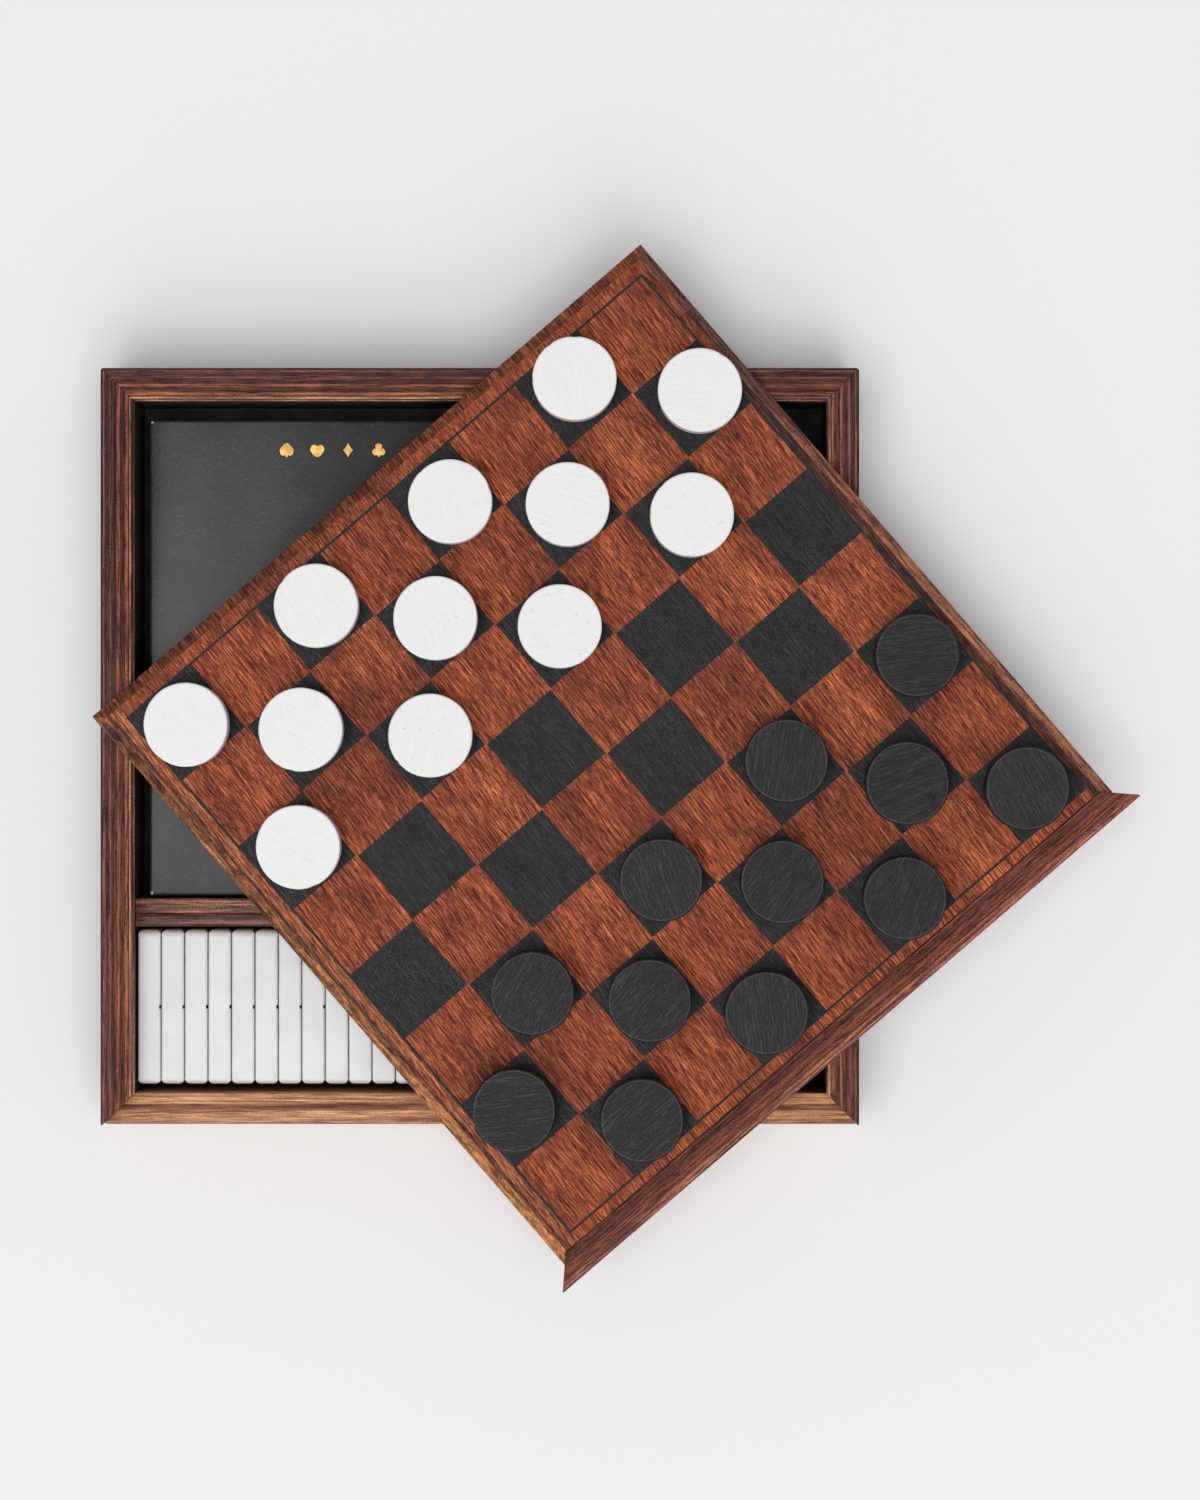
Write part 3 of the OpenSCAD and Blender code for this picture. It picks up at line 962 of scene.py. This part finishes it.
@dataclass
class DraughtsBoard:
    """The sliding lid that is the draughts board, as it lies turned on the rim.

    Its own frame has its origin at the middle of the field, X to the right and Y to the back. Stripes of the panel
    are placed by X, and those of the bar, whose grain runs along X, by Y.
    """

    turn: float = math.radians(40.75)
    level: float = 0.95
    slope: float = 0.3
    soft_edge: float = 0.25 * MM
    wood: WoodFinish = WoodFinish(
        "board_wood", srgb(106, 50, 38), srgb(146, 72, 48), Grain(0.17, 2.6, 8, -0.06, 0.2),
        pore=(0.12, 0.08, 0.16), streak=(2.8, 3.3, 2.4), waver=1,
        stripes=(
            Stripe(-99.5, 4.5, (148, 86, 62), 0.7, 1.0),
            Stripe(-101.6, 0.9, (76, 44, 38), 1.1, 0.15),
            Stripe(101.5, 6.6, (46, 32, 32), 1.1, 0.6, end=62),
            Stripe(62, 9, (168, 90, 58), 0.5, 4),
            Stripe(-30, 7, (160, 84, 56), 0.4, 3),
            Stripe(38, 12, (88, 40, 34), 0.45, 4, -90, 10),
        ),
    )
    left_edge: WoodFinish = WoodFinish(
        "left_edge_wood", srgb(62, 36, 30), srgb(190, 124, 80), Grain(0.45, 1.8, 2.5),
        patch=4.5, pore_share=0.8, streak_share=0.5, stripes=(Stripe(-101.6, 0.6, (70, 42, 36), 1.0, 0.15),),
    )
    right_edge: WoodFinish = WoodFinish(
        "right_edge_wood", srgb(100, 62, 52), srgb(156, 100, 72), Grain(0.7, 6, 2),
        patch=12, streak_share=0.6, stripes=(Stripe(103, 5, (84, 56, 50), 0.9, 0.5, start=40),),
    )
    back_edge: WoodFinish = WoodFinish(
        "back_edge_wood", srgb(54, 29, 23), srgb(138, 74, 48), Grain(0.28, 3, 1.2, -0.06, 0.1),
        patch=6, depth_scale=0.08,
    )
    bar_slope: WoodFinish = WoodFinish(
        "bar_slope_wood", srgb(90, 52, 46), srgb(146, 86, 72), Grain(0.35, 3.4, 0.9, grit=0.35),
        streak=(1.7, 1.8, 1.7), patch=14, waver=0.35,
        stripes=(
            Stripe(-101.5, 0.5, (50, 32, 31), 1.0, 0.2),
            Stripe(-103.2, 2.2, (76, 46, 41), 0.5, 0.5),
            # Painted highlight: the pale band at the top of the slope, where it meets the flat top.
            Stripe(-105.9, 1.5, (134, 72, 54), 1.0, 0.3),
        ),
    )
    bar_flat: WoodFinish = WoodFinish(
        "bar_flat_wood", srgb(104, 58, 48), srgb(146, 84, 66), Grain(0.4, 6, 0.7),
        waver=0.3,
        stripes=(
            Stripe(-106.9, 0.5, (64, 40, 37), 1.0, 0.12),
            Stripe(-108.9, 0.5, (158, 100, 84), 0.9, 0.15),
            Stripe(-109.6, 0.4, (56, 38, 36), 0.9, 0.12),
        ),
    )
    stain: StainFinish = StainFinish((0.003, 0.003, 0.003), (0.02, 0.02, 0.02), Grain(0.26, 2.4, 7, -0.06, 0.3))

    def build(self) -> None:
        """Builds the panel, its painted pattern and the front bar."""
        low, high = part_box("board_line")
        centre = tuple((low + high) / 2)
        lie = GrainLie(centre, self.turn, 21.0)
        right = np.array([math.cos(self.turn), math.sin(self.turn)])
        back = np.array([-right[1], right[0]])

        def sort_panel(middles: Array, normals: Array) -> Array:
            """0 for the face, 1 to 3 for the bevels and edges at the left, the right and the back."""
            aside, behind = normals[:, :2] @ right, normals[:, :2] @ back
            edge = np.where(np.abs(aside) > np.abs(behind), np.where(aside < 0, 1, 2), 3)
            return np.where(np.abs(normals[:, 2]) > self.level, 0, edge)

        def sort_bar(middles: Array, normals: Array) -> Array:
            """1 for the finger slope, 0 for the rest."""
            return np.where((normals[:, 2] > self.slope) & (normals[:, 2] < self.level), 1, 0)

        woods = (self.wood, self.left_edge, self.right_edge, self.back_edge)
        lies = (lie, GrainLie(centre, self.turn, 22.0, 2.5), GrainLie(centre, self.turn, 23.0, 1.0), lie)
        panel = [wood.make(way) for wood, way in zip(woods, lies)]
        replace_softened("board_panel", "bevelled_panel", panel, "board_wood", self.soft_edge, sort_panel)
        across = GrainLie(centre, self.turn + math.pi / 2, 25.0)
        bar = [self.bar_flat.make(across), self.bar_slope.make(replace(across, seed=31.0, fade=3.0))]
        replace_softened("board_bar", "finger_bar", bar, "rim_wood", self.soft_edge, sort_bar)
        stain = self.stain.make(lie)
        for node in ("board_dark_squares", "board_line"):
            dress(node, stain)


# ---- The draughts ----


@dataclass
class DraughtSet:
    """Twelve painted wooden discs of one colour."""

    colour: str
    paint: PaintFinish
    segments: int = 120
    soft: float = 0.55 * MM
    uneven: float = 0.07 * MM
    dent: float = 0.3 * MM
    most_dents: int = 3
    crown: float = 0.03 * MM
    count: int = 12

    def profile(self, radius: float, height: float) -> tuple[Array, Array]:
        """The outline of half a disc, from near the middle of its underside to near the middle of its top.

        Radii go out along the underside, round a quarter circle, up the side, round another and in along the top.

        Args:
            radius: The disc's radius.
            height: The disc's height.

        Returns:
            The radii and the heights.
        """
        s = self.soft
        quarter = np.linspace(0, math.pi / 2, 6)
        low_r, low_z = radius - s + s * np.sin(quarter), s - s * np.cos(quarter)
        side_z = np.linspace(s, height - s, 5)[1:-1]
        high_r, high_z = radius - s + s * np.cos(quarter), height - s + s * np.sin(quarter)
        inward = radius * np.array([0.94, 0.9, 0.8, 0.65, 0.45, 0.25, 0.08])
        radii = np.concatenate([inward[::-1], low_r, np.full(3, radius), high_r, inward])
        heights = np.concatenate([np.zeros(7), low_z, side_z, high_z, np.full(7, height)])
        return radii, heights

    def disc(self, node: str, seed: int) -> None:
        """Turns one disc in place of its CAD node.

        Each ring of the outline is swept round the middle. The radius loses a sum of a few waves round the edge,
        and a few narrow dents press the top edge in; the top falls and rises by a slow wave across it.

        Args:
            node: The CAD node.
            seed: The disc's own number, for its unevenness.
        """
        low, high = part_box(node)
        middle, radius, height = (low + high) / 2, (high.x - low.x) / 2, high.z - low.z
        draw = np.random.default_rng(seed)
        radii, heights = (part[:, None] for part in self.profile(radius, height))
        around = np.arange(self.segments)
        angle = np.linspace(0, math.tau, self.segments, endpoint=False)
        waves = np.arange(2, 10)
        phase = draw.uniform(0, math.tau, len(waves))
        depth = draw.uniform(0.2, 1, len(waves)) / waves
        wobble = (depth[:, None] * np.cos(waves[:, None] * angle + phase[:, None])).sum(0)
        wobble = self.uneven * (wobble - wobble.max()) / np.ptp(wobble)
        edge = np.clip((radii / radius - 0.9) / 0.1, 0, 1)
        upper = np.clip((heights / height - 0.55) / 0.45, 0, 1) * edge
        r, z = radii + edge * wobble, np.repeat(heights, self.segments, 1)
        for _ in range(int(draw.integers(0, self.most_dents + 1))):
            off = np.angle(np.exp(1j * (angle - draw.uniform(0, math.tau))))
            press = self.dent * draw.uniform(0.3, 1) * np.exp(-((off / draw.uniform(0.03, 0.09)) ** 2))
            r = r - upper * press
            z = z - 0.6 * upper * press
        x, y = r * np.cos(angle), r * np.sin(angle)
        tilt = draw.uniform(0, math.tau)
        across = (x * math.cos(tilt) + y * math.sin(tilt)) / radius
        z = z - np.where(heights > height / 2, self.crown * (1 + np.sin(2.2 * across + tilt)), 0)
        grid = np.stack([x + middle.x, y + middle.y, z + low.z], -1).reshape(-1, 3)
        poles = [[middle.x, middle.y, low.z], [middle.x, middle.y, z[-1].mean() + low.z]]
        points = np.concatenate([grid, poles])
        quads = ring_quads(len(radii), self.segments)
        turned, last, pole = np.roll(around, -1), len(grid) - self.segments, np.full(self.segments, len(grid))
        fans = np.array([[turned, around, pole], [last + around, last + turned, pole + 1]]).transpose(0, 2, 1)
        mesh = surface(node, points, quads.tolist() + fans.reshape(-1, 3).tolist())
        self.map_paint(mesh, points, middle, radius, draw.uniform(0, math.tau), seed)
        piece = put_object(f"painted_{node}", mesh, [self.material], body_of_node(node))
        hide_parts(node)

    def map_paint(self, mesh: Mesh, points: Array, middle: Vector, radius: float, turn: float, seed: int) -> None:
        """Writes the disc's own map and its attributes.

        The map is the plan about the disc's middle, turned, and stretched outwards by how far a point lies under
        the top, so that it runs on down the side.

        Args:
            mesh: The disc's mesh.
            points: Its points.
            middle: The middle of the disc.
            radius: Its radius.
            turn: How its grain is turned.
            seed: The disc's own number.
        """
        plan = points[:, :2] - np.array([middle.x, middle.y])
        reach = np.linalg.norm(plan, axis=1)
        drop = points[:, 2].max() - points[:, 2]
        stretched = plan * (1 + drop / np.maximum(reach, 0.1 * radius))[:, None]
        flat = stretched @ np.array([[math.cos(turn), math.sin(turn)], [-math.sin(turn), math.cos(turn)]])
        corners = np.empty(len(mesh.loops), np.int32)
        mesh.loops.foreach_get("vertex_index", corners)
        mesh.uv_layers.new(name="plan").data.foreach_set("uv", flat[corners].astype(np.float32).ravel())
        for name, values in (("rim", np.minimum(reach / radius, 1)), ("piece", np.full(len(points), 0.37 * seed))):
            mesh.attributes.new(name, "FLOAT", "POINT").data.foreach_set("value", values.astype(np.float32))

    def build(self, first_seed: int) -> None:
        """Builds the set.

        Args:
            first_seed: One less than the number of the first disc.
        """
        self.material = self.paint.make()
        for number in range(1, self.count + 1):
            self.disc(f"{self.colour}_draught_{number:02d}", first_seed + number)


# ---- The dominoes ----


@dataclass
class DominoRow:
    """The double-six set on edge in its channel, the sunk marks of its faces inked."""

    single: int = 12
    rest: str = "dominoes_13_to_28"
    set_size: int = 28
    thickness: float = 6.6 * MM
    sunk: float = 0.02 * MM
    soft_edge: float = 0.5 * MM
    least_angle: float = 32
    clear: float = 1.5 * MM
    white: MottledFinish = MottledFinish(
        "domino_white", srgb(228, 228, 228), srgb(222, 222, 222), blotch=12, seed=2.0,
        roughness=0.35, uneven=0.2, relief=0.02, flecks=(Flecks(4, 0.15, 0.1, 0.4, srgb(160, 160, 158)),),
        plain={
            "Specular_IOR_Level": 0.12,
            "Subsurface_Weight": 0.1,
            "Subsurface_Radius": (0.0015, 0.0015, 0.0015),
            "Subsurface_Scale": 0.5,
        },
    )
    ink: MottledFinish = MottledFinish(
        "domino_ink", (0.012, 0.012, 0.013), (0.03, 0.03, 0.032), blotch=2, seed=4.0, roughness=0.45
    )

    def ink_faces(self, low: Vector, high: Vector, tiles: int) -> FaceSort:
        """Finds the faces that lie sunk in the marked side of each tile.

        A tile's marked side lies at its largest x. A face is inked if it looks that way from below that side and
        stands clear of the tile's rounded edges.

        Args:
            low: Lowest corner of the node.
            high: Highest corner of the node.
            tiles: How many tiles the node has, evenly spaced.

        Returns:
            What sorts the faces: 0 plain, 1 inked.
        """
        pitch = 1.0 if tiles == 1 else (high.x - low.x - self.thickness) / (tiles - 1)
        middle, room = (low + high) / 2, (high - low) / 2

        def sort_faces(middles: Array, normals: Array) -> Array:
            """0 for the plain faces, 1 for the sunk ones."""
            tile = np.clip(np.floor((middles[:, 0] - low.x) / pitch), 0, tiles - 1)
            depth = low.x + tile * pitch + self.thickness - middles[:, 0]
            off = np.abs(middles[:, 1:] - np.array(middle[1:]))
            inside = (off < np.array(room[1:]) - self.clear).all(1)
            return np.where(inside & (normals[:, 0] > 0.5) & (depth > self.sunk), 1, 0)

        return sort_faces

    def build(self) -> None:
        """Builds the row."""
        finishes = [self.white.make(), self.ink.make()]
        tiles = [(f"domino_{number:02d}", 1) for number in range(1, self.single + 1)]
        for node, count in (*tiles, (self.rest, self.set_size - self.single)):
            sort_faces = self.ink_faces(*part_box(node), count)
            edges = (self.soft_edge, sort_faces, self.least_angle)
            replace_softened(node, f"inked_{node}", finishes, "domino_white", *edges)


# ---- The card box ----


class Suit(Enum):
    """The four suits."""

    SPADE = "spade"
    HEART = "heart"
    DIAMOND = "diamond"
    CLUB = "club"


@dataclass
class CardBox:
    """The wrapped card box: lid, tray, two packs, and a row of gold suits on the lid."""

    soft_edge: float = 0.7 * MM
    suit_height: float = 4.2 * MM
    suit_pitch: float = 9 * MM
    suit_back: float = 8.6 * MM
    suit_left: float = 40 * MM
    suit_steps: int = 96
    leaf: float = 0.04 * MM
    paper: WrappedFinish = WrappedFinish(
        "wrapped_board", (0.024, 0.024, 0.023), (0.035, 0.035, 0.034), blotch=20, seed=5.0,
        roughness=0.36, relief=0.05, plain={"Specular_IOR_Level": 0.16},
        flecks=(
            Flecks(0.6, 0.16, 0.7, 0.14, srgb(150, 150, 146)),
            Flecks(2.2, 0.15, 0.35, 0.4, srgb(150, 150, 146)),
        ),
    )
    foil: MottledFinish = MottledFinish(
        "gold_foil", srgb(214, 172, 92), srgb(168, 128, 62), blotch=3, seed=1.0,
        roughness=0.3, uneven=0.3, relief=0.02, plain={"Metallic": 0.55},
    )

    def outline(self, suit: Suit, angle: Array) -> Array:
        """How far a suit's edge lies from its middle, in each direction, as a share of half its height.

        A club is three round lobes and a foot; a diamond is a curved-in square; a heart is two lobes over a point;
        a spade is a heart turned over on a foot. Lobes are bent cosines of the direction, and a foot is a narrow
        bell about straight down.

        Args:
            suit: The suit.
            angle: Directions, anticlockwise from +X.

        Returns:
            The distances.
        """
        down = np.angle(np.exp(1j * (angle + math.pi / 2)))
        foot = np.exp(-((down / 0.28) ** 4))
        if suit is Suit.CLUB:
            lobes = 0.42 + 0.58 * np.abs(np.cos(1.5 * (angle - math.pi / 2))) ** 0.7
            return np.maximum(lobes * 0.95, 0.95 * foot)
        if suit is Suit.DIAMOND:
            return (np.abs(np.cos(angle) / 0.72) ** 0.85 + np.abs(np.sin(angle)) ** 0.85) ** (-1 / 0.85)
        flip = -angle if suit is Suit.SPADE else angle
        up = np.angle(np.exp(1j * (flip - math.pi / 2)))
        heart = 0.98 - 0.45 * np.exp(-((up / 0.45) ** 2)) - 0.16 * np.exp(-(((np.abs(up) - 2.3) / 0.55) ** 2))
        return np.maximum(heart, 0.97 * foot) if suit is Suit.SPADE else heart

    def suit(self, suit: Suit, x: float, y: float, z: float) -> Mesh:
        """A thin flat leaf of foil in the shape of a suit.

        The leaf is a grid of rings from the middle to the outline; the rim turns down to the paper.

        Args:
            suit: The suit.
            x: Its middle.
            y: Its middle.
            z: Height of the paper.

        Returns:
            The mesh.
        """
        steps = self.suit_steps
        angle = np.linspace(0, math.tau, steps, endpoint=False)
        reach = self.outline(suit, angle) * self.suit_height / 2
        shares = np.array([0.04, 0.4, 0.75, 0.97, 1.0, 1.0])[:, None]
        heights = z + self.leaf * np.array([1, 1, 1, 1, 0.7, 0])
        rings = [x + shares * reach * np.cos(angle), y + shares * reach * np.sin(angle)]
        grid = np.stack([*rings, np.repeat(heights[:, None], steps, 1)], -1).reshape(-1, 3)
        quads = np.roll(ring_quads(len(shares), steps)[:, ::-1], 1, axis=1)
        around = np.arange(steps)
        caps = [around.tolist(), (len(grid) - steps + around)[::-1].tolist()]
        return surface(suit.value, grid, quads.tolist() + caps, smooth=False)

    def build(self) -> None:
        """Builds the card box."""
        low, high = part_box("card_box_lid")
        half = ((high.x - low.x) / 2, (high.y - low.y) / 2, 1.0)
        paper = replace(self.paper, centre=tuple((low + high) / 2), half=half).make()
        for part, width in (("lid", self.soft_edge), ("tray", self.soft_edge / 2)):
            replace_softened(f"card_box_{part}", f"wrapped_{part}", [paper], "wrapped_board", width)
        for name in ("back", "front"):
            first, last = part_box(f"card_pack_{name}")
            cards = CardStockFinish(tuple((first + last) / 2)).make(f"playing_cards_{name}")
            dress(f"card_pack_{name}", cards)
        gold = self.foil.make()
        for number, suit in enumerate(Suit):
            x = low.x + self.suit_left + number * self.suit_pitch
            mesh = self.suit(suit, x, high.y - self.suit_back, high.z)
            put_object(f"gold_{suit.value}", mesh, [gold], "card_lid")


# ---- The studio ----


@dataclass(frozen=True)
class Lamp:
    """A soft lamp that points at the box.

    Elevation is its height over the floor and azimuth how far it stands left of the front, in degrees; level is
    what it adds to the light on the floor.
    """

    name: str
    elevation: float
    azimuth: float
    level: float
    in_gloss: bool = True
    in_diffuse: bool = True


@dataclass
class Studio:
    """The pale floor, the soft lights and the camera."""

    floor_half: float = 4.0
    floor_colour: Colour = (0.84, 0.84, 0.843)
    distance: float = 6.0
    lamp_width: float = 4.5
    lamp_height: float = 3.5
    lamps: tuple[Lamp, ...] = (
        Lamp("key", 50, -5, 0.17),
        Lamp("top", 80, 14, 0.62, in_gloss=False),
        Lamp("sheen", 65, 55, 0.9, in_diffuse=False),
    )
    ambient: float = 0.34
    eye: Point = (34.84 * MM, -0.8 * MM, 1218 * MM)
    focal_share: float = 4071.6 / 1500
    sensor: float = 36.0

    def floor(self) -> None:
        """Lays the floor, a flat sheet with a faint cloud in its colour."""
        h = self.floor_half
        mesh = surface("pale_floor", np.array([[-h, -h, 0], [h, -h, 0], [h, h, 0], [-h, h, 0]]), [[0, 1, 2, 3]])
        shade = tuple(0.995 * c for c in self.floor_colour)
        plain = {"Specular_IOR_Level": 0.1}
        finish = MottledFinish("pale_floor", self.floor_colour, shade, 300, 0.0, roughness=0.9, plain=plain)
        mesh.materials.append(finish.make())
        floor = bpy.data.objects.new("pale_floor", mesh)
        bpy.context.scene.collection.objects.link(floor)

    def hang(self, lamp: Lamp) -> None:
        """Hangs a lamp.

        The power that brings a white sheet on the floor to a level is level times pi squared times the distance
        squared, over the height of the lamp's direction.

        Args:
            lamp: The lamp.
        """
        data = bpy.data.lights.new(lamp.name, "AREA")
        data.shape = "RECTANGLE"
        data.size, data.size_y = self.lamp_width, self.lamp_height
        elevation, azimuth = math.radians(lamp.elevation), math.radians(lamp.azimuth)
        flat = math.cos(elevation)
        direction = Vector((-flat * math.sin(azimuth), -flat * math.cos(azimuth), math.sin(elevation)))
        data.energy = lamp.level * math.pi**2 * self.distance**2 / direction.z
        hung = bpy.data.objects.new(lamp.name, data)
        hung.location = direction * self.distance
        hung.rotation_euler = direction.to_track_quat("Z", "Y").to_euler()
        hung.visible_camera = False
        hung.visible_glossy = lamp.in_gloss
        hung.visible_diffuse = lamp.in_diffuse
        bpy.context.scene.collection.objects.link(hung)

    def surroundings(self) -> None:
        """Sets the pale surroundings.

        What is seen, mirrored or seen through glass shows the backdrop's colour; the rest takes the ambient level.
        """
        world = bpy.data.worlds.new("studio")
        bpy.context.scene.world = world
        world.use_nodes = True
        b = Bench(world.node_tree)
        b.tree.nodes.clear()
        rays = b.put("LightPath").outputs
        seen = rays["Is Camera Ray"]
        for name in ("Is Transmission Ray", "Is Glossy Ray"):
            seen = b.math("MAXIMUM", seen, rays[name])
        glow = b.put("Background", (1.0, 1.0, 1.0), self.ambient).outputs[0]
        backdrop = b.put("Background", self.floor_colour).outputs[0]
        b.put("OutputWorld", b.put("MixShader", seen, glow, backdrop).outputs[0])

    def camera(self) -> None:
        """Hangs the camera straight over the board, looking down with +Y up."""
        data = bpy.data.cameras.new("overhead")
        data.sensor_fit = "VERTICAL"
        data.sensor_height = self.sensor
        data.lens = self.focal_share * self.sensor
        data.clip_start = 0.05
        data.clip_end = 50
        camera = bpy.data.objects.new("overhead", data)
        camera.location = self.eye
        bpy.context.scene.collection.objects.link(camera)
        bpy.context.scene.camera = camera

    def build(self) -> None:
        """Sets up the studio."""
        self.camera()
        self.floor()
        for lamp in self.lamps:
            self.hang(lamp)
        self.surroundings()
        bpy.context.scene.view_settings.view_transform = "Standard"


WHITE_PAINT = PaintFinish(
    "white_paint", ground=srgb(233, 233, 232), worn=srgb(226, 226, 225), pit=srgb(150, 150, 148),
    ridge_highlight=srgb(233, 233, 232), grain=0.12, pit_share=0.3, shine=0.1, relief=0.04, ring=0.0,
)
BLACK_PAINT = PaintFinish(
    "black_paint", ground=(0.007, 0.007, 0.007), worn=(0.028, 0.028, 0.028), pit=(0.003, 0.003, 0.003),
    ridge_highlight=(0.065, 0.065, 0.065), grain=0.8, pit_share=0.5, shine=0.17, relief=0.1, ring=0.8,
)


def main() -> None:
    """Builds the sub-assemblies in order."""
    logging.basicConfig(level=logging.INFO, format="%(name)s: %(message)s")
    Studio().build()
    BoxWoodwork().build()
    DraughtsBoard().build()
    DraughtSet("white", WHITE_PAINT).build(first_seed=100)
    DraughtSet("black", BLACK_PAINT).build(first_seed=200)
    DominoRow().build()
    CardBox().build()


if __name__ == "__main__":
    main()
